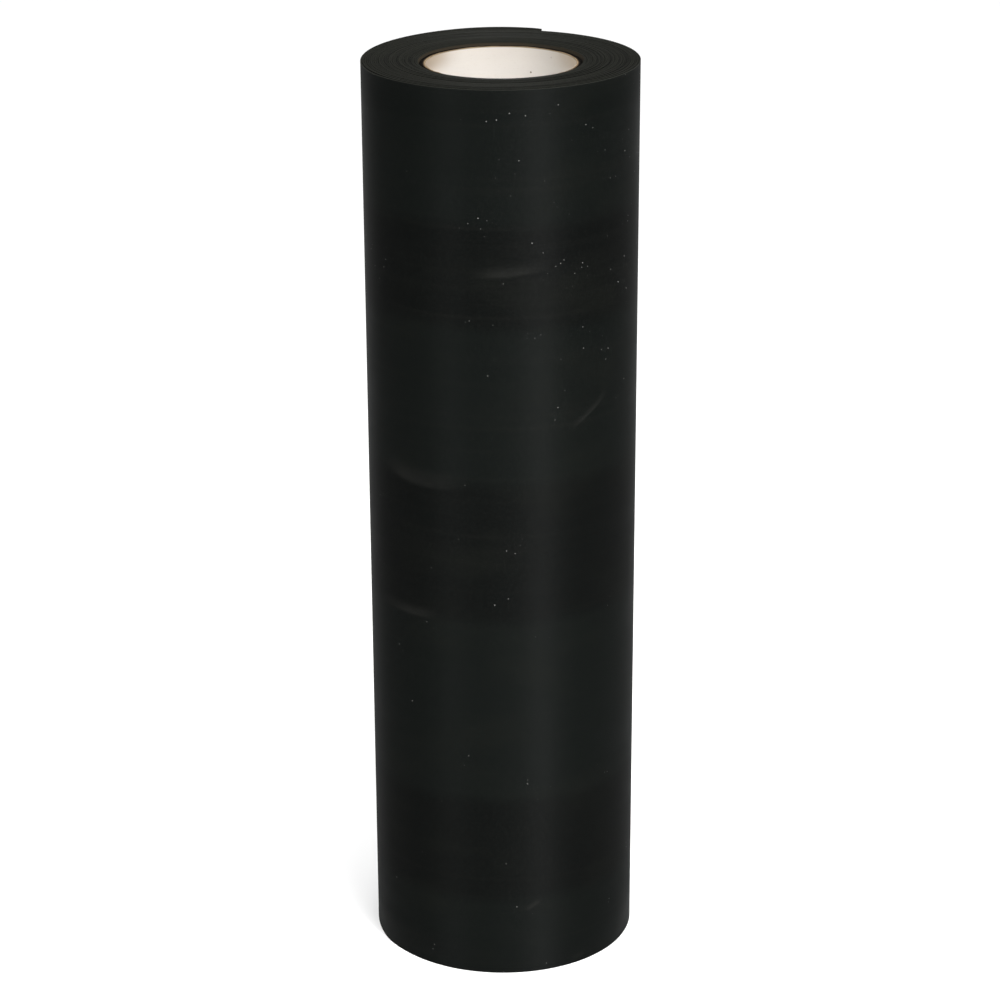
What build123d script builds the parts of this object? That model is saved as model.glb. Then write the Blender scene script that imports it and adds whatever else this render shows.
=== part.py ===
from build123d import *
import math
import os

# A roll of dark sheet material standing on end: one long web wound clockwise outward
# (seen from above) onto a spiral-wound paper core, with the outer end left free.
# Units are millimetres. The core axis is Z, the bottom of the roll is z = 0, the rear is +Y.

# Core: three layers of paper, 3 inch bore
CORE_BORE_R = 38.1
LINER_PLY = 0.4
BOARD_WALL = 2.0
OUTER_PLY = 0.4
CORE_LENGTH = 480.0

# Web: one continuous strip
WEB_WIDTH = 482.0
WEB_THICKNESS = 0.85
TURN_GAP = 0.15
HALF_TURNS = 57
FIRST_WRAP_R = 41.45

# Double-sided tape that holds the first wrap to the core
TAPE_THICKNESS = 0.15
TAPE_WIDTH = 19.0
TAPE_LENGTH = 460.0
TAPE_START_ANGLE = -2.0

# Free end of the web: it springs clear of the roll in two curves, a wide one then a tighter one
WIDE_CURL_R = 78.0
WIDE_CURL_SEGMENTS = 8
WIDE_SEGMENT_ANGLE = 8.175
TIGHT_CURL_R = 53.6
TIGHT_CURL_SEGMENTS = 6
TIGHT_SEGMENT_ANGLE = 8.565

# Each half turn is a semicircle. Front and rear centres sit this far either side of the core
# axis, so every semicircle meets the next one smoothly and the radius grows by one turn pitch.
TURN_PITCH = WEB_THICKNESS + TURN_GAP
CENTRE_SHIFT = TURN_PITCH / 4

LINER_R = CORE_BORE_R + LINER_PLY
BOARD_R = LINER_R + BOARD_WALL
CORE_R = BOARD_R + OUTER_PLY


def half_turn_radius(half_turn):
    """Inner radius of the web on the given half turn. Half turns are counted from the core."""
    return FIRST_WRAP_R + half_turn * TURN_PITCH / 2


def half_turn_centre(half_turn):
    """Front half turns are centred left of the core axis, rear ones right of it."""
    if half_turn % 2 == 0:
        return -CENTRE_SHIFT
    return CENTRE_SHIFT


def half_turn_start(half_turn):
    """Angle where a half turn begins: at the right for the front, at the left for the rear."""
    if half_turn % 2 == 0:
        return 0.0
    return 180.0


def core_layer(label, inner_r, outer_r):
    """One full-length tube of the paper core, with its part exported under the given label."""
    with BuildPart() as layer:
        with BuildSketch(Plane.XY):
            Circle(outer_r)
            Circle(inner_r, mode=Mode.SUBTRACT)
        extrude(amount=CORE_LENGTH)
    layer.part.label = label
    export_step(layer.part, "parts/" + label + ".step")
    return layer.part


def starting_tape():
    """Thin strip of tape bonded to the core under the leading edge of the web."""
    sweep_angle = math.degrees(TAPE_WIDTH / CORE_R)
    lower = (WEB_WIDTH - TAPE_LENGTH) / 2
    with BuildPart() as start_tape:
        with BuildSketch(Plane.XY.offset(lower)):
            with BuildLine():
                inside = CenterArc((0, 0), CORE_R, TAPE_START_ANGLE, -sweep_angle)
                outside = CenterArc((0, 0), CORE_R + TAPE_THICKNESS, TAPE_START_ANGLE, -sweep_angle)
                Line(inside @ 0, outside @ 0)
                Line(inside @ 1, outside @ 1)
            make_face()
        extrude(amount=TAPE_LENGTH)
    start_tape.part.label = "start_tape"
    export_step(start_tape.part, "parts/start_tape.step")
    return start_tape.part


def wound_web():
    """The tight part of the web, a spiral strip from the core to where the free end begins."""
    with BuildPart() as web_roll:
        with BuildSketch(Plane.XY):
            with BuildLine():
                for half_turn in range(HALF_TURNS):
                    centre = (half_turn_centre(half_turn), 0)
                    inner_r = half_turn_radius(half_turn)
                    start = half_turn_start(half_turn)
                    inside = CenterArc(centre, inner_r, start, -180)
                    outside = CenterArc(centre, inner_r + WEB_THICKNESS, start, -180)
                    if half_turn == 0:
                        Line(inside @ 0, outside @ 0)
                    if half_turn == HALF_TURNS - 1:
                        Line(inside @ 1, outside @ 1)
            make_face()
        extrude(amount=WEB_WIDTH)
    web_roll.part.label = "web_roll"
    export_step(web_roll.part, "parts/web_roll.step")
    return web_roll.part


def tail_segment(label, centre, outer_r, start_angle, sweep_angle):
    """One curved length of the free end. Its outer edges are where the sheet can bend."""
    with BuildPart() as segment:
        with BuildSketch(Plane.XY):
            with BuildLine():
                inside = CenterArc(centre, outer_r - WEB_THICKNESS, start_angle, -sweep_angle)
                outside = CenterArc(centre, outer_r, start_angle, -sweep_angle)
                Line(inside @ 0, outside @ 0)
                Line(inside @ 1, outside @ 1)
            make_face()
        extrude(amount=WEB_WIDTH)
    segment.part.label = label
    export_step(segment.part, "parts/" + label + ".step")
    return segment.part


def free_end():
    """The tail of the web, which leaves the roll at its left side and curls round the rear."""
    last = HALF_TURNS - 1
    root_x = half_turn_centre(last) - half_turn_radius(last) - WEB_THICKNESS
    wide_centre = Vector(root_x + WIDE_CURL_R, 0)
    angle = 180.0
    pieces = []
    for step in range(WIDE_CURL_SEGMENTS):
        label = "web_tail_" + str(step + 1)
        pieces.append(tail_segment(label, wide_centre, WIDE_CURL_R, angle, WIDE_SEGMENT_ANGLE))
        angle = angle - WIDE_SEGMENT_ANGLE
    towards_rim = Vector(1, 0).rotate(Axis.Z, angle)
    tight_centre = wide_centre + towards_rim * (WIDE_CURL_R - TIGHT_CURL_R)
    for step in range(TIGHT_CURL_SEGMENTS):
        label = "web_tail_" + str(WIDE_CURL_SEGMENTS + step + 1)
        pieces.append(tail_segment(label, tight_centre, TIGHT_CURL_R, angle, TIGHT_SEGMENT_ANGLE))
        angle = angle - TIGHT_SEGMENT_ANGLE
    return pieces


os.makedirs("parts", exist_ok=True)
core_layer("core_inner_ply", CORE_BORE_R, LINER_R)
core_layer("core_board_wall", LINER_R, BOARD_R)
core_layer("core_outer_ply", BOARD_R, CORE_R)
starting_tape()
wound_web()
free_end()
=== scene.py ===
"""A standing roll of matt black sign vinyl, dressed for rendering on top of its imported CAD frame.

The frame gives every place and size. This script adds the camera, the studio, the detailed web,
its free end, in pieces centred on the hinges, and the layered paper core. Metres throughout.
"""
import math
import bpy
from mathutils import Matrix, Vector, noise


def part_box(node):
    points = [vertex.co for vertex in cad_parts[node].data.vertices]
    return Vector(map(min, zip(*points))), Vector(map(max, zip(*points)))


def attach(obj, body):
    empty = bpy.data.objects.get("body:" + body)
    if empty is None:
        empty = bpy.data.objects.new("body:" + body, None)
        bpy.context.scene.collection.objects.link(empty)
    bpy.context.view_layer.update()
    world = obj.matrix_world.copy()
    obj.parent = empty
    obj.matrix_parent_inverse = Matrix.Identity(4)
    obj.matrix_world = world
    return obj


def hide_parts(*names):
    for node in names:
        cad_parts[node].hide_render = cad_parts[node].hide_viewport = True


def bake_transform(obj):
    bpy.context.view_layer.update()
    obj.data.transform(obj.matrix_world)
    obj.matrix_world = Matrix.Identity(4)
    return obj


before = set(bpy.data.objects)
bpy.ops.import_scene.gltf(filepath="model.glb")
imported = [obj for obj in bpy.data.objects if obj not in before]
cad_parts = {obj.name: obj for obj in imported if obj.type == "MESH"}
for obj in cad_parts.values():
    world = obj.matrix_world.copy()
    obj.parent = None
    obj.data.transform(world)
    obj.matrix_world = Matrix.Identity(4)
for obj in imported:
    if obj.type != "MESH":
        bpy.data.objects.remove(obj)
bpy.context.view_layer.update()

MM = 0.001

# The web, as the frame has it: one strip, wound clockwise outward from the right of the core
WEB_THICKNESS = 0.85 * MM
TURN_PITCH = 1.0 * MM
HALF_TURNS = 57
FIRST_WRAP_R = 41.45 * MM
CENTRE_SHIFT = TURN_PITCH / 4
# Keeps the start of a half turn from being counted in the one before it
ROUNDING_NUDGE = 1e-9
WEB_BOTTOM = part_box("web_roll")[0][2]
WEB_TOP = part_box("web_roll")[1][2]
WEB_WIDTH = WEB_TOP - WEB_BOTTOM

# Radius of the outermost half turn, to the middle of its thickness
OUTER_R = FIRST_WRAP_R + (HALF_TURNS - 1) * TURN_PITCH / 2 + WEB_THICKNESS / 2

# The free end: a wide curl of eight bending lengths, then a tighter one of six
WIDE_CURL_R = 78.0 * MM
WIDE_CURL_LENGTHS = 8
WIDE_LENGTH_ANGLE = math.radians(8.175)
TIGHT_CURL_R = 53.6 * MM
TIGHT_CURL_LENGTHS = 6
TIGHT_LENGTH_ANGLE = math.radians(8.565)
TAIL_LENGTHS = WIDE_CURL_LENGTHS + TIGHT_CURL_LENGTHS

# The core, from its nodes' boxes
LINER_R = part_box("core_inner_ply")[1][0]
BOARD_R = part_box("core_board_wall")[1][0]
CORE_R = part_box("core_outer_ply")[1][0]
LINER_PLY = 0.4 * MM
BORE_R = LINER_R - LINER_PLY
CORE_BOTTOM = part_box("core_inner_ply")[0][2]
CORE_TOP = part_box("core_inner_ply")[1][2]

# The web's mesh: its rounded corners, how far apart its stations are, and its rows of faces
EDGE_ROUND = 0.09 * MM
WINDING_STEP = math.radians(3.0)
OUTER_WRAP_STEP = math.radians(1.5)
TAIL_STEP = math.radians(0.6)
TAIL_MIN_STEPS = 8
WINDING_ROWS = 1
OUTER_ROWS = 24
WEB_SHARP_ANGLE = math.radians(60)
# Places of the web's materials on each of its pieces
FACE_SLOT = 0
EDGE_SLOT = 1
BACK_SLOT = 2

# The wraps never line up exactly. The bottom edge wanders by a share of what the top edge does.
EDGE_WANDER = 0.15 * MM
EDGE_SEED = 4.2
LOW_EDGE_SHARE = 0.3
SLACK_WANDER = 0.02 * MM
SLACK_SEED = 1.3
# Turns lie in groups, which each tighten over most of their length and then stand off again
NEST_TURNS = 2.2
NEST_SLACK = 0.20 * MM
NEST_TIGHTENING = 0.82
NEST_UNEVENNESS = 2.4
NEST_UNEVEN_RATE = 0.131
# The groups fade out between these amounts of turn before the web's end
NEST_FADE = (18 * math.pi, 12 * math.pi)
# The end of the roll is slightly dished: its first turns sit lower than the rest
END_DISH = 0.9 * MM
DISHED_TURNS = 9
# At the rear, the outer turns stand off the inner ones by this much, from this amount of turn on
REAR_GAP = 0.3 * MM
REAR_GAP_TURN = 51.5 * math.pi
REAR_GAP_RAMP = 1.0
# Where the outermost turn stands off the one below it, measured back from the free end's root
LOOSE_GAP = 0.5 * MM
LOOSE_ANGLE = math.radians(27)
LOOSE_SPREAD = math.radians(11)
# The free end has crept up a little out of line with the roll, most at its corner
TAIL_CREEP = 0.45 * MM
CORNER_DIP = 0.1 * MM
CORNER_DIP_LENGTH = 5 * MM
# Heights, as shares of the web's width, where the handled bands on its face begin and end
BAND_EDGES = (0.091, 0.213, 0.423, 0.579, 0.749, 0.859)
BAND_SOFTNESS = 0.010
# How far the bands' edges waver, in metres
BAND_WAVER = 0.012
# Rub marks on the outermost turn: metres to the right of its front, height, half length, half width,
# angle, and how far the ends rise, in half widths
RUB_MARKS = ((0.0495, 0.3140, 0.017, 0.0035, 0.57, 0.3), (-0.0450, 0.2770, 0.030, 0.0100, -0.05, 0.45),
             (-0.0560, 0.2035, 0.024, 0.0060, 0.0, 0.35), (0.0925, 0.1990, 0.008, 0.0030, 1.50, 0.0),
             (0.0860, 0.0150, 0.022, 0.0120, 1.40, 0.0), (0.0430, 0.0030, 0.006, 0.0040, 0.20, 0.0),
             (0.0166, 0.0400, 0.006, 0.0030, 0.60, 0.0), (0.0050, 0.3900, 0.022, 0.0060, 0.10, 0.2))

# The core's mesh: its columns, its layers' rows, and the ridges of its cut ends
CORE_COLUMNS = 160
LINER_ROWS = 60
HIDDEN_ROWS = 1
BOARD_RIDGES = 10
PLY_RIDGES = 2
RIDGE_DROP = 0.10 * MM
CORE_SHARP_ANGLE = math.radians(50)
LINER_ROUGHNESS = 0.25 * MM
BOARD_ROUGHNESS = 0.22 * MM
WRAP_ROUGHNESS = 0.2 * MM
LINER_SEED = 3.0
BOARD_SEED = 11.0
WRAP_SEED = 17.0
# How finely a cut end's height varies around the tube and across its wall
CUT_NOISE_AROUND = 6
CUT_NOISE_ACROSS = 900
# The liner's seam: the lead of its helix, its angle at the top, and the groove between its edges
SEAM_LEAD = 150 * MM
SEAM_ANGLE = math.radians(215)
SEAM_WIDTH = 0.5 * MM
SEAM_DEPTH = 0.16 * MM
SEAM_LIP = 0.05 * MM
# A lead so long that a tube's columns run straight up
STRAIGHT = 1e9
# The board is tan to this depth, and painted near black beyond it: painted shade of the recess between core
# and web
TAN_DEPTH = 0.9 * MM

# Colours of the web's face
FACE_PLAIN = (0.0012, 0.0016, 0.0014, 1)
FACE_BANDED = (0.0008, 0.0010, 0.0009, 1)
FACE_HAZE = (0.0026, 0.0029, 0.0023, 1)
FACE_STREAK = (0.0033, 0.0034, 0.0029, 1)
FACE_WEAVE = (0.0022, 0.0024, 0.0021, 1)
# Painted highlight along the top of the face
FACE_RIM_HIGHLIGHT = (0.0036, 0.0040, 0.0036, 1)
FACE_RUBBED = (0.0036, 0.0038, 0.0034, 1)
DUST = (0.10, 0.10, 0.095, 1)
# Colours of its back and of its slit edge
BACK_DARK = (0.0150, 0.0155, 0.0130, 1)
BACK_LIGHT = (0.0210, 0.0215, 0.0180, 1)
RESIDUE = (0.036, 0.029, 0.020, 1)
EDGE_DARK = (0.0092, 0.0097, 0.0075, 1)
EDGE_LIGHT = (0.0124, 0.0129, 0.0099, 1)
# Painted shade of the gaps between turns
EDGE_GAP_SHADE = (0.0046, 0.0049, 0.0038, 1)
EDGE_DUST = (0.032, 0.032, 0.026, 1)
# Painted highlight on the outer top corner of the outermost turn
EDGE_LIP_HIGHLIGHT = (0.021, 0.0215, 0.018, 1)
# Colours of the core and the tape
PAPER_LIGHT = (0.87, 0.83, 0.785, 1)
PAPER_DARK = (0.82, 0.78, 0.73, 1)
# Painted shade on the right-hand wall of the bore
PAPER_SHADE = (0.52, 0.51, 0.48, 1)
PAPER_CREAM = (0.56, 0.45, 0.32, 1)
PAPER_STAIN = (0.34, 0.25, 0.17, 1)
PAPER_FUZZ = (0.30, 0.22, 0.13, 1)
PAPER_FIBRE = (0.60, 0.54, 0.45, 1)
PAPER_SPECK = (0.16, 0.10, 0.06, 1)
BOARD_TAN = (0.20, 0.14, 0.085, 1)
# Painted shade: near black, for the shade in the recess between the core's outer plies and the web
BOARD_PAINTED_SHADE = (0.0016, 0.0012, 0.0009, 1)
WRAP_PAINTED_SHADE = (0.0012, 0.0010, 0.0008, 1)
TAPE_DARK = (0.55, 0.50, 0.36, 1)
TAPE_LIGHT = (0.66, 0.62, 0.48, 1)
FLOOR_COLOUR = (0.97, 0.97, 0.97, 1)
WHITE = (1.0, 1.0, 1.0, 1.0)

# Studio: each light's name, place, target, size and power
MIDDLE = (0, 0, 0.23)
LIGHTS = (("key_light", (0.61, -0.99, 0.23), MIDDLE, (0.24, 0.44), 31),
          ("fill_light", (-0.85, -0.95, 0.23), MIDDLE, (0.36, 0.44), 15),
          ("front_light", (0.05, -1.9, 0.25), MIDDLE, (1.1, 0.44), 19),
          ("top_light", (0.42, -0.76, 1.35), (0, 0, WEB_TOP), (0.5, 0.5), 11),
          ("ceiling_light", (0, 0.6, 4.5), (0, 0.6, 0), (8.0, 8.0), 190))
WORLD_STRENGTH = 0.60
FLOOR_REACH = 9.0

# Camera: it stands in front of the roll and looks down on it
CAMERA_PLACE = Vector((-0.0018, -1.5313, 0.8134))
CAMERA_PITCH = 0.393
CAMERA_ROLL = -0.0047
CAMERA_LENS = 110.72
CAMERA_SHIFT_Y = 0.1177


# ---------------------------------------------------------------- camera, studio

def make_camera():
    """Long lens, looking down at the pitch above, with a vertical shift that frames the whole roll."""
    camera = bpy.data.cameras.new("camera")
    camera.lens = CAMERA_LENS
    camera.sensor_width = 36.0
    camera.shift_y = CAMERA_SHIFT_Y
    camera.clip_start = 0.05
    camera.clip_end = 50.0
    view = bpy.data.objects.new("camera", camera)
    bpy.context.scene.collection.objects.link(view)
    tilt = Matrix.Rotation(math.pi / 2 - CAMERA_PITCH, 4, "X")
    view.matrix_world = Matrix.Translation(CAMERA_PLACE) @ tilt @ Matrix.Rotation(CAMERA_ROLL, 4, "Z")
    bpy.context.scene.camera = view


def make_area_light(name, place, target, size, power):
    """A soft rectangular light that faces the target."""
    lamp = bpy.data.lights.new(name, "AREA")
    lamp.shape = "RECTANGLE"
    lamp.size = size[0]
    lamp.size_y = size[1]
    lamp.energy = power
    holder = bpy.data.objects.new(name, lamp)
    bpy.context.scene.collection.objects.link(holder)
    holder.location = place
    holder.visible_camera = False
    holder.rotation_euler = (Vector(target) - Vector(place)).to_track_quat("-Z", "Y").to_euler()


def make_studio():
    """White surroundings, a pale floor and the soft lights.

    The key on the right, the fill on the left and the wide one in front stand lower than the roll's
    top, so that they light its side only. A weaker one above lights its end and the bore.
    """
    world = bpy.data.worlds.new("studio")
    bpy.context.scene.world = world
    world.use_nodes = True
    background = world.node_tree.nodes["Background"]
    background.inputs["Color"].default_value = WHITE
    background.inputs["Strength"].default_value = WORLD_STRENGTH
    for name, place, target, size, power in LIGHTS:
        make_area_light(name, place, target, size, power)
    mesh = bpy.data.meshes.new("floor")
    reach = FLOOR_REACH
    corners = [(-reach, -reach, 0), (reach, -reach, 0), (reach, reach, 0), (-reach, reach, 0)]
    mesh.from_pydata(corners, [], [(0, 1, 2, 3)])
    floor = bpy.data.objects.new("floor", mesh)
    bpy.context.scene.collection.objects.link(floor)
    floor.data.materials.append(make_floor_material())


# ---------------------------------------------------------------- material nodes

def new_material(name):
    """A material with an empty node tree but for its shader. Returns the material and the shader."""
    material = bpy.data.materials.new(name)
    material.use_nodes = True
    return material, material.node_tree.nodes["Principled BSDF"]


def add_node(material, kind, inputs=(), **settings):
    """Adds a node, sets its properties, then feeds its sockets from values or other nodes' outputs."""
    made = material.node_tree.nodes.new(kind)
    for name, value in settings.items():
        setattr(made, name, value)
    for socket, value in dict(inputs).items():
        if isinstance(value, bpy.types.NodeSocket):
            material.node_tree.links.new(value, made.inputs[socket])
        else:
            made.inputs[socket].default_value = value
    return made


def maths(material, operation, first, second=0.0):
    """Result of one sum on two values, each a number or a node's output."""
    return add_node(material, "ShaderNodeMath", {0: first, 1: second}, operation=operation).outputs[0]


def remap(material, value, low, high, to_low, to_high):
    """Smooth step from one range to another, held at both ends."""
    sockets = {"Value": value, "From Min": low, "From Max": high, "To Min": to_low, "To Max": to_high}
    made = add_node(material, "ShaderNodeMapRange", sockets, interpolation_type="SMOOTHSTEP")
    return made.outputs["Result"]


def mix_colour(material, amount, first, second):
    """The first colour, turned into the second by the amount. The numbers are a Mix node's sockets."""
    sockets = {0: amount, 6: first, 7: second}
    return add_node(material, "ShaderNodeMix", sockets, data_type="RGBA").outputs[2]


def noise_value(material, vector, scale, detail=3.0, roughness=0.5):
    """Smooth noise about 0.5."""
    sockets = {"Vector": vector, "Scale": scale, "Detail": detail, "Roughness": roughness}
    return add_node(material, "ShaderNodeTexNoise", sockets).outputs["Fac"]


def stretched(material, vector, stretch):
    """The vector with each axis multiplied, so that a texture runs longer one way."""
    made = add_node(material, "ShaderNodeVectorMath", {0: vector, 1: stretch}, operation="MULTIPLY")
    return made.outputs["Vector"]


def add_bump(material, shader, layers):
    """Stacks bump layers, each (height, strength, distance), and feeds the shader's normal."""
    normal = None
    for height, strength, distance in layers:
        sockets = {"Height": height, "Strength": strength, "Distance": distance}
        if normal is not None:
            sockets["Normal"] = normal
        normal = add_node(material, "ShaderNodeBump", sockets).outputs["Normal"]
    material.node_tree.links.new(normal, shader.inputs["Normal"])


def web_position(material):
    """Where a point lies on the unrolled web: x along it and y across it, in metres."""
    spot = add_node(material, "ShaderNodeUVMap", uv_map="web").outputs["UV"]
    split = add_node(material, "ShaderNodeSeparateXYZ", {"Vector": spot})
    return spot, split.outputs["X"], split.outputs["Y"]


def feed(material, shader, socket, output):
    """Links a node's output to a socket of the shader."""
    material.node_tree.links.new(output, shader.inputs[socket])


# ---------------------------------------------------------------- materials

def make_floor_material():
    """Plain matt floor."""
    material, shader = new_material("floor")
    shader.inputs["Base Color"].default_value = FLOOR_COLOUR
    shader.inputs["Roughness"].default_value = 0.9
    shader.inputs["Specular IOR Level"].default_value = 0.1
    return material


def mark_amount(material, sideways, height, mark):
    """Mask of a soft rub mark: long and thin, turned by an angle, and bowed."""
    centre_x, centre_z, half_length, half_width, angle, bow = mark
    aside = maths(material, "SUBTRACT", sideways, centre_x)
    above = maths(material, "SUBTRACT", height, centre_z)
    level = maths(material, "ADD", maths(material, "MULTIPLY", aside, math.cos(angle)),
                  maths(material, "MULTIPLY", above, math.sin(angle)))
    upright = maths(material, "SUBTRACT", maths(material, "MULTIPLY", above, math.cos(angle)),
                    maths(material, "MULTIPLY", aside, math.sin(angle)))
    level = maths(material, "DIVIDE", level, half_length)
    upright = maths(material, "DIVIDE", upright, half_width)
    upright = maths(material, "SUBTRACT", upright,
                    maths(material, "MULTIPLY", maths(material, "MULTIPLY", level, level), bow))
    along_mark = remap(material, maths(material, "ABSOLUTE", level), 0.3, 1.0, 1.0, 0.0)
    below = remap(material, upright, -0.35, 0.0, 0.0, 1.0)
    over = remap(material, upright, 0.0, 1.0, 1.0, 0.0)
    return maths(material, "MULTIPLY", along_mark, maths(material, "MULTIPLY", below, over))


def handling_marks(material, sideways, height):
    """Amount of rubbed, lighter surface, from all the marks."""
    marks = None
    for mark in RUB_MARKS:
        mask = mark_amount(material, sideways, height, mark)
        marks = mask if marks is None else maths(material, "MAXIMUM", marks, mask)
    return marks


def make_vinyl_face():
    """Matt black face of the web, with handled bands across it, rub marks, calender grain, dust and a
    painted highlight along its top.

    The grain runs along the web, so a highlight spreads up and down the roll.
    """
    material, shader = new_material("vinyl_face")
    spot, along, across = web_position(material)
    front_length = winding_length(HALF_TURNS * math.pi) - OUTER_R * math.pi / 2
    sideways = maths(material, "SUBTRACT", front_length, along)
    waver = noise_value(material, stretched(material, spot, (9.0, 2.0, 1.0)), 1.0, 2.0)
    height = maths(material, "ADD", across, maths(material, "MULTIPLY", waver, BAND_WAVER))
    share = maths(material, "DIVIDE", maths(material, "SUBTRACT", height, BAND_WAVER / 2), WEB_WIDTH)
    bands = None
    for count, edge in enumerate(BAND_EDGES):
        step = remap(material, share, edge - BAND_SOFTNESS, edge + BAND_SOFTNESS, 0.0, 1.0)
        signed = maths(material, "MULTIPLY", step, 1.0 if count % 2 == 0 else -1.0)
        bands = signed if bands is None else maths(material, "ADD", bands, signed)
    mottle = noise_value(material, stretched(material, spot, (14.0, 30.0, 1.0)), 1.0, 5.0, 0.6)
    streak = noise_value(material, stretched(material, spot, (3.0, 260.0, 1.0)), 1.0, 3.0, 0.6)
    base = mix_colour(material, bands, FACE_PLAIN, FACE_BANDED)
    haze = remap(material, mottle, 0.45, 0.75, 0.0, 0.35)
    base = mix_colour(material, haze, base, FACE_HAZE)
    fine = remap(material, streak, 0.5, 0.8, 0.0, 0.3)
    base = mix_colour(material, fine, base, FACE_STREAK)
    weave = noise_value(material, stretched(material, spot, (500.0, 900.0, 1.0)), 1.0, 2.0)
    base = mix_colour(material, remap(material, weave, 0.4, 0.7, 0.0, 0.35), base, FACE_WEAVE)
    # Painted highlight: the face is painted lighter over its top 12 mm, and most in its top millimetre
    rim_highlight = maths(material, "MAXIMUM", remap(material, across, WEB_TOP - 0.012, WEB_TOP - 0.001, 0.0, 0.16),
                remap(material, across, WEB_TOP - 0.0011, WEB_TOP - 0.0004, 0.0, 0.45))
    base = mix_colour(material, rim_highlight, base, FACE_RIM_HIGHLIGHT)
    breakup = remap(material, mottle, 0.35, 0.6, 0.35, 0.9)
    marks = maths(material, "MULTIPLY", handling_marks(material, sideways, across), breakup)
    base = mix_colour(material, marks, base, FACE_RUBBED)
    dust_spots = add_node(material, "ShaderNodeTexVoronoi", {"Vector": spot, "Scale": 260.0})
    dust_here = remap(material, dust_spots.outputs["Distance"], 0.05, 0.09, 1.0, 0.0)
    dusty = noise_value(material, spot, 42.0, 2.0)
    upper = maths(material, "MULTIPLY", remap(material, across, 0.30, 0.38, 0.0, 0.10),
                  remap(material, sideways, -0.03, 0.01, 0.0, 1.0))
    dusty = maths(material, "ADD", dusty, upper)
    dust = maths(material, "MULTIPLY", dust_here, remap(material, dusty, 0.57, 0.70, 0.0, 0.8))
    base = mix_colour(material, dust, base, DUST)
    feed(material, shader, "Base Color", base)
    gloss = maths(material, "ADD", remap(material, mottle, 0.3, 0.7, 0.63, 0.70),
                  maths(material, "MULTIPLY", bands, 0.015))
    feed(material, shader, "Roughness", gloss)
    shader.inputs["Specular IOR Level"].default_value = 0.028
    shader.inputs["Anisotropic"].default_value = 0.9
    shader.inputs["Anisotropic Rotation"].default_value = 0.25
    grain = noise_value(material, spot, 2600.0, 2.0)
    swell = noise_value(material, stretched(material, spot, (26.0, 9.0, 1.0)), 1.0, 2.0)
    add_bump(material, shader, [(swell, 0.35, 0.0006), (grain, 0.35, 0.00004)])
    return material


def make_vinyl_back():
    """Back of the web: greyer than its face, and brown with paper fibres where it lay on the core."""
    material, shader = new_material("vinyl_back")
    spot, along = web_position(material)[:2]
    mottle = noise_value(material, stretched(material, spot, (20.0, 40.0, 1.0)), 1.0, 4.0, 0.6)
    base = mix_colour(material, mottle, BACK_DARK, BACK_LIGHT)
    residue = maths(material, "MULTIPLY", remap(material, along, 0.24, 0.30, 1.0, 0.0),
                    remap(material, mottle, 0.3, 0.6, 0.7, 1.0))
    base = mix_colour(material, residue, base, RESIDUE)
    feed(material, shader, "Base Color", base)
    shader.inputs["Roughness"].default_value = 0.7
    shader.inputs["Specular IOR Level"].default_value = 0.05
    grain = noise_value(material, spot, 1800.0, 2.0)
    add_bump(material, shader, [(grain, 0.4, 0.00005)])
    return material


def make_vinyl_edge():
    """Slit edge of the web: a little lighter than its face, with some turns painted darker as painted shade
    of the gaps between turns.

    The slitting marks run along the web. The outer top corner of the outermost turn is painted lighter: a
    painted highlight where its rounded edge catches the light.
    """
    material, shader = new_material("vinyl_edge")
    spot, along, across = web_position(material)
    patch = noise_value(material, spot, 30.0, 4.0, 0.6)
    fine = noise_value(material, stretched(material, spot, (900.0, 4000.0, 1.0)), 1.0, 2.0)
    # The number of turns wound so far, from the length of web in them
    first_length = 2 * math.pi * (FIRST_WRAP_R + WEB_THICKNESS / 2)
    growth = 2 * math.pi * TURN_PITCH
    squared = maths(material, "ADD", maths(material, "MULTIPLY", along, 2 * growth), first_length ** 2)
    turn_length = maths(material, "SQRT", squared)
    turn_count = maths(material, "DIVIDE", maths(material, "SUBTRACT", turn_length, first_length), growth)
    rings = add_node(material, "ShaderNodeTexNoise",
                     {"W": turn_count, "Scale": 0.8, "Detail": 2.0, "Roughness": 0.7}, noise_dimensions="1D")
    base = mix_colour(material, patch, EDGE_DARK, EDGE_LIGHT)
    # Painted shade: some turns are painted darker, standing in for the shade in the gaps between turns
    painted_gap_shade = remap(material, rings.outputs["Fac"], 0.36, 0.54, 0.85, 0.0)
    base = mix_colour(material, painted_gap_shade, base, EDGE_GAP_SHADE)
    base = mix_colour(material, remap(material, fine, 0.5, 0.8, 0.0, 0.4), base, EDGE_DUST)
    # Painted highlight: the outer top corner of the outermost turn is painted lighter, where its rounded
    # edge catches the light
    outermost = remap(material, turn_count, HALF_TURNS / 2 - 1.1, HALF_TURNS / 2 - 0.9, 0.0, 0.8)
    lip_highlight = remap(material, across, WEB_TOP + 0.05 * MM, WEB_TOP + 0.5 * MM, 1.0, 0.0)
    base = mix_colour(material, maths(material, "MULTIPLY", outermost, lip_highlight), base, EDGE_LIP_HIGHLIGHT)
    feed(material, shader, "Base Color", base)
    shader.inputs["Roughness"].default_value = 0.6
    shader.inputs["Specular IOR Level"].default_value = 0.035
    shader.inputs["Anisotropic"].default_value = 0.8
    add_bump(material, shader, [(fine, 0.4, 0.00006)])
    return material


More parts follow.
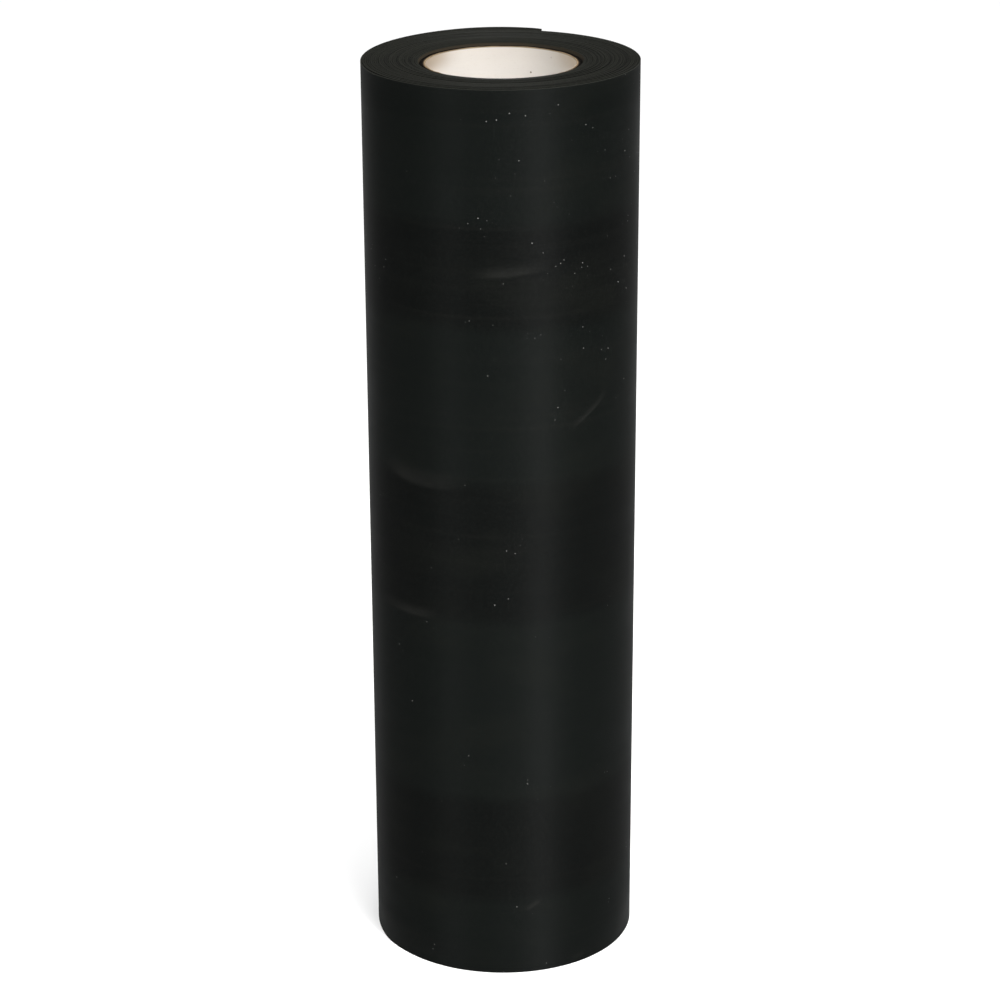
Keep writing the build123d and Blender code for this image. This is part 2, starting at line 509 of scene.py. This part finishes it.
def make_liner_paper():
    """White paper that lines the bore, creamier towards its ends, with fibres, a few marks and painted shade
    towards its right-hand wall.
    """
    material, shader = new_material("liner_paper")
    spot = add_node(material, "ShaderNodeTexCoord").outputs["Object"]
    split = add_node(material, "ShaderNodeSeparateXYZ", {"Vector": spot})
    height = split.outputs["Z"]
    across = split.outputs["X"]
    cloud = noise_value(material, spot, 40.0, 4.0, 0.6)
    fibre = noise_value(material, stretched(material, spot, (500.0, 500.0, 1600.0)), 1.0, 3.0, 0.7)
    drop = maths(material, "SUBTRACT", CORE_TOP, height)
    edge = maths(material, "ADD", drop, maths(material, "MULTIPLY", cloud, 0.004))
    aside = maths(material, "ABSOLUTE", across)
    aside = maths(material, "ADD", aside, maths(material, "MULTIPLY", cloud, 0.006))
    cream = maths(material, "MULTIPLY", remap(material, edge, 0.003, 0.016, 1.0, 0.0),
                  remap(material, aside, 0.026, 0.042, 0.10, 0.75))
    base = mix_colour(material, cloud, PAPER_LIGHT, PAPER_DARK)
    # Painted shade: the paper is painted greyer towards the right-hand wall of the bore
    painted_shade = remap(material, across, 0.006, 0.030, 0.0, 0.25)
    base = mix_colour(material, painted_shade, base, PAPER_SHADE)
    base = mix_colour(material, cream, base, PAPER_CREAM)
    stain = maths(material, "MULTIPLY", remap(material, edge, 0.004, 0.014, 1.0, 0.0),
                  remap(material, across, -0.036, -0.018, 0.5, 0.0))
    base = mix_colour(material, stain, base, PAPER_STAIN)
    fuzz = remap(material, drop, 0.0001, 0.0006, 1.0, 0.0)
    base = mix_colour(material, fuzz, base, PAPER_FUZZ)
    base = mix_colour(material, remap(material, fibre, 0.55, 0.8, 0.0, 0.3), base, PAPER_FIBRE)
    specks = add_node(material, "ShaderNodeTexVoronoi", {"Vector": spot, "Scale": 150.0})
    speck = remap(material, specks.outputs["Distance"], 0.05, 0.10, 1.0, 0.0)
    where = remap(material, noise_value(material, spot, 30.0, 1.0), 0.56, 0.66, 0.0, 0.8)
    base = mix_colour(material, maths(material, "MULTIPLY", speck, where), base, PAPER_SPECK)
    feed(material, shader, "Base Color", base)
    shader.inputs["Roughness"].default_value = 0.85
    shader.inputs["Specular IOR Level"].default_value = 0.25
    add_bump(material, shader, [(cloud, 0.3, 0.0004), (fibre, 0.5, 0.00008)])
    return material


def make_board(name, light, dark, inner_r, outer_r):
    """Brown paper board with fine fibres, light at the inner radius and painted dark at the outer one, as
    painted shade of the recess between core and web.
    """
    material, shader = new_material(name)
    spot = add_node(material, "ShaderNodeTexCoord").outputs["Object"]
    cloud = noise_value(material, spot, 160.0, 4.0, 0.65)
    fibre = noise_value(material, spot, 2500.0, 2.0, 0.6)
    flat = add_node(material, "ShaderNodeVectorMath", {0: spot, 1: (1, 1, 0)}, operation="MULTIPLY")
    radius = add_node(material, "ShaderNodeVectorMath", {0: flat.outputs["Vector"]}, operation="LENGTH")
    depth = remap(material, radius.outputs["Value"], inner_r, outer_r, 0.0, 1.0)
    base = mix_colour(material, depth, light, dark)
    base = mix_colour(material, maths(material, "MULTIPLY", cloud, 0.35), base, dark)
    base = mix_colour(material, remap(material, fibre, 0.55, 0.8, 0.0, 0.25), base, light)
    feed(material, shader, "Base Color", base)
    shader.inputs["Roughness"].default_value = 0.9
    shader.inputs["Specular IOR Level"].default_value = 0.03
    add_bump(material, shader, [(fibre, 0.6, 0.0001)])
    return material


def make_tape():
    """Yellowed clear tape with a faint crepe."""
    material, shader = new_material("tape")
    spot = add_node(material, "ShaderNodeTexCoord").outputs["Object"]
    crepe = noise_value(material, stretched(material, spot, (400.0, 400.0, 1500.0)), 1.0, 3.0)
    base = mix_colour(material, crepe, TAPE_DARK, TAPE_LIGHT)
    feed(material, shader, "Base Color", base)
    shader.inputs["Roughness"].default_value = 0.4
    add_bump(material, shader, [(crepe, 0.3, 0.00005)])
    return material


# ---------------------------------------------------------------- web geometry

def wander(turned, seed, amount):
    """A slow, smooth, repeatable offset that is out of step from one turn to the next."""
    first = math.sin(0.50 * turned + seed)
    second = math.sin(0.43 * turned + 2.1 * seed)
    third = math.sin(0.29 * turned + 3.7 * seed)
    return amount * (0.42 * first + 0.33 * second + 0.25 * third)


def smooth_step(value, low, high):
    """0 below the low value, 1 above the high one, and smooth between them."""
    share = min(1.0, max(0.0, (value - low) / (high - low)))
    return share * share * (3 - 2 * share)


def rear_share(outward):
    """How far a direction is towards the rear: 1 there, and falling to 0 at the sides."""
    return max(0.0, outward.y) ** 3


def nest_slack(turned):
    """Turns nest in groups: each one lies a little tighter than the last, then one stands off again.

    The result goes from 0.5 down to -0.5 and back.
    """
    group = NEST_TURNS * 2 * math.pi
    uneven = turned + NEST_UNEVENNESS * math.sin(NEST_UNEVEN_RATE * turned)
    phase = uneven / group % 1.0
    if phase < NEST_TIGHTENING:
        return 0.5 - phase / NEST_TIGHTENING
    return -0.5 + (phase - NEST_TIGHTENING) / (1 - NEST_TIGHTENING)


def winding_place(turned):
    """Where the web's inner face is after it has turned so far, and the outward direction there."""
    half_turn = min(int(turned / math.pi + ROUNDING_NUDGE), HALF_TURNS - 1)
    inner_r = FIRST_WRAP_R + half_turn * TURN_PITCH / 2
    shift = -CENTRE_SHIFT if half_turn % 2 == 0 else CENTRE_SHIFT
    outward = Vector((math.cos(-turned), math.sin(-turned), 0))
    last = HALF_TURNS * math.pi
    settled = min(1.0, (last - turned) / math.pi)
    nested = 1 - smooth_step(turned, last - NEST_FADE[0], last - NEST_FADE[1])
    nesting = nest_slack(turned) * NEST_SLACK * nested
    slack = (wander(turned, SLACK_SEED, SLACK_WANDER) + nesting) * settled
    stepped = smooth_step(turned, REAR_GAP_TURN, REAR_GAP_TURN + REAR_GAP_RAMP)
    slack += REAR_GAP * stepped * rear_share(outward) * settled
    slack += LOOSE_GAP * math.exp(-((last - turned - LOOSE_ANGLE) / LOOSE_SPREAD) ** 2)
    slack -= LOOSE_GAP * math.exp(-(LOOSE_ANGLE / LOOSE_SPREAD) ** 2) * (1 - settled)
    return Vector((shift, 0, 0)) + outward * (inner_r + slack), outward


def winding_length(turned):
    """Length of web wound so far, to the middle of its thickness."""
    turns = turned / (2 * math.pi)
    mean_r = FIRST_WRAP_R + WEB_THICKNESS / 2 + turned / math.pi * TURN_PITCH / 4
    return 2 * math.pi * mean_r * turns


def edge_height(turned):
    """How far this turn stands above the flat end, because the wraps never line up exactly."""
    far_in = min(1.0, turned / (2 * math.pi * DISHED_TURNS))
    dish = (1 - far_in) ** 2 * END_DISH
    return wander(turned, EDGE_SEED, EDGE_WANDER) - dish


def web_edges(rise):
    """Heights of the web's lower and upper edges, where the upper one stands this far up."""
    return WEB_BOTTOM + abs(rise) * LOW_EDGE_SHARE, WEB_TOP + rise


def winding_station(turned):
    """Station of the wound web after it has turned so far."""
    return *winding_place(turned), winding_length(turned), *web_edges(edge_height(turned))


def strip_section(rows):
    """Outline of the web's cross-section as (share of thickness, height share, lift) with round edges.

    It goes up the outer face and down the inner one. The share is 1 on the outer face.
    """
    round_share = EDGE_ROUND / WEB_THICKNESS
    face = [row / rows for row in range(rows + 1)]
    section = [(1.0, share, 0) for share in face]
    section += [(1.0 - round_share, 1.0, 1), (round_share, 1.0, 1)]
    section += [(0.0, share, 0) for share in reversed(face)]
    section += [(round_share, 0.0, -1), (1.0 - round_share, 0.0, -1)]
    return section


def make_strip(name, stations, rows):
    """Builds a closed length of web. Each station is (inner place, outward, along, low, high).

    Its map gives metres along the web and across it, and goes on across the thickness at the edges.
    """
    section = strip_section(rows)
    count = len(section)
    points = []
    for place, outward, _, low, high in stations:
        for depth, share, lift in section:
            spot = place + outward * (depth * WEB_THICKNESS)
            bottom = low + EDGE_ROUND
            top = high - EDGE_ROUND
            height = bottom + (top - bottom) * share + lift * EDGE_ROUND
            points.append((spot.x, spot.y, height))
    faces = []
    for first in range(len(stations) - 1):
        for side in range(count):
            beside = (side + 1) % count
            here = first * count
            there = here + count
            faces.append((here + side, there + side, there + beside, here + beside))
    top_sides = {rows, rows + 1, rows + 2}
    bottom_sides = {count - 3, count - 2, count - 1}
    side_materials = []
    for side in range(count):
        if side in top_sides or side in bottom_sides:
            side_materials.append(EDGE_SLOT)
        else:
            side_materials.append(FACE_SLOT if side < rows else BACK_SLOT)
    materials = side_materials * (len(stations) - 1)
    end = (len(stations) - 1) * count
    faces.append(tuple(range(count)))
    faces.append(tuple(reversed(range(end, end + count))))
    materials += [EDGE_SLOT, EDGE_SLOT]
    mesh = bpy.data.meshes.new(name)
    mesh.from_pydata(points, [], faces)
    mesh.polygons.foreach_set("material_index", materials)
    layer = mesh.uv_layers.new(name="web")
    for loop in mesh.loops:
        station = stations[loop.vertex_index // count]
        depth = section[loop.vertex_index % count][0]
        across = points[loop.vertex_index][2] + (1 - depth) * WEB_THICKNESS
        layer.data[loop.index].uv = (station[2], across)
    mesh.validate()
    mesh.shade_smooth()
    mesh.set_sharp_from_angle(angle=WEB_SHARP_ANGLE)
    piece = bpy.data.objects.new(name, mesh)
    bpy.context.scene.collection.objects.link(piece)
    for material in WEB_MATERIALS:
        piece.data.materials.append(material)
    return piece


def winding_stations(start, end, step):
    """Stations of the wound web between two amounts of turn."""
    count = max(2, round((end - start) / step))
    return [winding_station(start + (end - start) * index / count) for index in range(count + 1)]


def make_winding():
    """All the turns that lie under the outermost one."""
    stations = winding_stations(0.0, (HALF_TURNS - 2) * math.pi, WINDING_STEP)
    winding = make_strip("web_winding", stations, WINDING_ROWS)
    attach(winding, "roll")
    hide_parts("web_roll")


def make_outer_wrap():
    """The outermost turn, up to where the first bending length takes over."""
    end = HALF_TURNS * math.pi - WIDE_LENGTH_ANGLE / 2
    stations = winding_stations((HALF_TURNS - 2) * math.pi, end, OUTER_WRAP_STEP)
    wrap = make_strip("web_outer_wrap", stations, OUTER_ROWS)
    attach(wrap, "roll")
    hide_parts("web_roll")


def tail_station(angle):
    """Station on the free end, which starts at angle 0 at the left of the roll and curls clockwise."""
    last = HALF_TURNS - 1
    root_x = -CENTRE_SHIFT - FIRST_WRAP_R - last * TURN_PITCH / 2 - WEB_THICKNESS
    wide_centre = Vector((root_x + WIDE_CURL_R, 0, 0))
    wide_angle = WIDE_CURL_LENGTHS * WIDE_LENGTH_ANGLE
    outward = Vector((math.cos(math.pi - angle), math.sin(math.pi - angle), 0))
    start_length = winding_length(HALF_TURNS * math.pi)
    if angle <= wide_angle:
        place = wide_centre + outward * (WIDE_CURL_R - WEB_THICKNESS)
        along = start_length + angle * WIDE_CURL_R
    else:
        turn = Vector((math.cos(math.pi - wide_angle), math.sin(math.pi - wide_angle), 0))
        tight_centre = wide_centre + turn * (WIDE_CURL_R - TIGHT_CURL_R)
        place = tight_centre + outward * (TIGHT_CURL_R - WEB_THICKNESS)
        along = start_length + wide_angle * WIDE_CURL_R + (angle - wide_angle) * TIGHT_CURL_R
    return place, outward, along, *web_edges(tail_rise(angle))


def tail_angles():
    """Angle at which each bending length of the free end starts, and where the last one stops."""
    angles = [0.0]
    for index in range(TAIL_LENGTHS):
        step = WIDE_LENGTH_ANGLE if index < WIDE_CURL_LENGTHS else TIGHT_LENGTH_ANGLE
        angles.append(angles[-1] + step)
    return angles


def tail_rise(angle):
    """Height of the free end's edge over the flat end. Its last corner dips a little."""
    start = edge_height(HALF_TURNS * math.pi)
    last = tail_angles()[-1]
    left = (last - angle) * TIGHT_CURL_R
    dip = max(0.0, 1 - left / CORNER_DIP_LENGTH) ** 2 * CORNER_DIP
    return start + (TAIL_CREEP - start) * angle / last - dip


def make_tail_piece(number):
    """One piece of the free end, centred on a hinge.

    It runs between the middles of the lengths on either side of the hinge. The last piece goes on
    to the end of the web.
    """
    angles = tail_angles()
    hinge = angles[number - 1]
    previous = hinge - WIDE_LENGTH_ANGLE if number == 1 else angles[number - 2]
    start = (previous + hinge) / 2
    bend_end = (hinge + angles[number]) / 2
    end = angles[-1] if number == TAIL_LENGTHS else bend_end
    count = max(TAIL_MIN_STEPS, round((end - start) / TAIL_STEP))
    stations = []
    for index in range(count + 1):
        angle = start + (end - start) * index / count
        wound = angle < 0
        stations.append(winding_station(HALF_TURNS * math.pi + angle) if wound else tail_station(angle))
    piece = make_strip("web_free_end_" + str(number), stations, OUTER_ROWS)
    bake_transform(piece)
    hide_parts("web_tail_" + str(number))


# ---------------------------------------------------------------- core geometry

def make_tube(name, profile, columns, lead, rough, seed, material):
    """A closed tube from a profile of (radius, height) points that runs once round its wall.

    Each profile point also says whether it is part of a cut end. Each column is (angle, how far its
    wall is pushed in). The columns follow the helix of the given lead, so that the ply seam runs along
    one of them. rough is how far the cut ends wander up and down.
    """
    points = []
    for column, (angle, sink) in enumerate(columns):
        for radius, height, follows in profile:
            turned = angle + 2 * math.pi * (height - CORE_TOP) / lead
            cosine = math.cos(turned)
            sine = math.sin(turned)
            noise_place = (cosine * CUT_NOISE_AROUND, sine * CUT_NOISE_AROUND,
                           seed + radius * CUT_NOISE_ACROSS)
            offset = noise.noise(Vector(noise_place)) if follows else 0
            moved_r = radius if follows else radius - sink
            points.append((moved_r * cosine, moved_r * sine, max(CORE_BOTTOM, height + rough * offset)))
    count = len(profile)
    total = len(columns)
    faces = []
    for column in range(total):
        beside = (column + 1) % total
        for row in range(count):
            above = (row + 1) % count
            faces.append((column * count + row, beside * count + row,
                          beside * count + above, column * count + above))
    mesh = bpy.data.meshes.new(name)
    mesh.from_pydata(points, [], faces)
    mesh.validate()
    mesh.shade_smooth()
    mesh.set_sharp_from_angle(angle=CORE_SHARP_ANGLE)
    piece = bpy.data.objects.new(name, mesh)
    bpy.context.scene.collection.objects.link(piece)
    piece.data.materials.append(material)
    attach(piece, "roll")
    return piece


def tube_profile(inner_r, outer_r, rows, ridges):
    """Profile of a tube's wall: up the bore, over the cut end in small ridges, down, and back under."""
    profile = []
    for row in range(rows + 1):
        share = row / rows
        height = CORE_BOTTOM + (CORE_TOP - CORE_BOTTOM) * share
        profile.append((inner_r, height, 1 if row in (0, rows) else 0))
    for ridge in range(1, ridges):
        radius = inner_r + (outer_r - inner_r) * ridge / ridges
        drop = RIDGE_DROP if ridge % 2 else 0.0
        profile.append((radius, CORE_TOP - drop, 1))
    for row in range(rows, -1, -1):
        share = row / rows
        height = CORE_BOTTOM + (CORE_TOP - CORE_BOTTOM) * share
        profile.append((outer_r, height, 1 if row in (0, rows) else 0))
    return profile


def even_columns(count):
    """Columns all round a tube, each (angle, how far its wall is pushed in)."""
    return [(2 * math.pi * column / count, 0.0) for column in range(count)]


def seam_columns(count):
    """Even columns, but for six close together that make the groove between two edges of a ply."""
    width = SEAM_WIDTH / BORE_R
    groove = [(-width, 0.0), (-width * 0.5, 0.0), (-width * 0.35, -SEAM_DEPTH),
              (width * 0.35, -SEAM_DEPTH), (width * 0.5, SEAM_LIP), (width, 0.0)]
    step = 2 * math.pi / count
    rest = [(step * index, 0.0) for index in range(1, count)]
    return [(SEAM_ANGLE + angle, sink) for angle, sink in groove + rest]


def make_core():
    """Three layers of the paper core, each with its own cut end."""
    liner = make_tube("core_liner", tube_profile(BORE_R, LINER_R, LINER_ROWS, PLY_RIDGES),
                      seam_columns(CORE_COLUMNS), SEAM_LEAD, LINER_ROUGHNESS, LINER_SEED,
                      make_liner_paper())
    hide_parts("core_inner_ply")
    board = make_board("core_board", BOARD_TAN, BOARD_PAINTED_SHADE, LINER_R, LINER_R + TAN_DEPTH)
    wall = make_tube("core_wall", tube_profile(LINER_R, BOARD_R, HIDDEN_ROWS, BOARD_RIDGES),
                     even_columns(CORE_COLUMNS), STRAIGHT, BOARD_ROUGHNESS, BOARD_SEED,
                     board)
    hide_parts("core_board_wall")
    # The wrap is painted near black all over: painted shade of the recess under the web
    kraft = make_board("kraft_paper", BOARD_PAINTED_SHADE, WRAP_PAINTED_SHADE, BOARD_R, CORE_R)
    outer = make_tube("core_wrap", tube_profile(BOARD_R, CORE_R, HIDDEN_ROWS, PLY_RIDGES),
                      even_columns(CORE_COLUMNS), STRAIGHT, WRAP_ROUGHNESS, WRAP_SEED,
                      kraft)
    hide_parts("core_outer_ply")


def dress_tape():
    """The starting tape keeps its CAD shape and gets its material."""
    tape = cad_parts["start_tape"]
    material = make_tape()
    if tape.material_slots:
        for place in tape.material_slots:
            place.material = material
    else:
        tape.data.materials.append(material)


make_camera()
make_studio()
WEB_MATERIALS = (make_vinyl_face(), make_vinyl_edge(), make_vinyl_back())
make_winding()
make_outer_wrap()
for tail_number in range(1, TAIL_LENGTHS + 1):
    make_tail_piece(tail_number)
make_core()
dress_tape()
bpy.context.scene.view_settings.view_transform = "Standard"
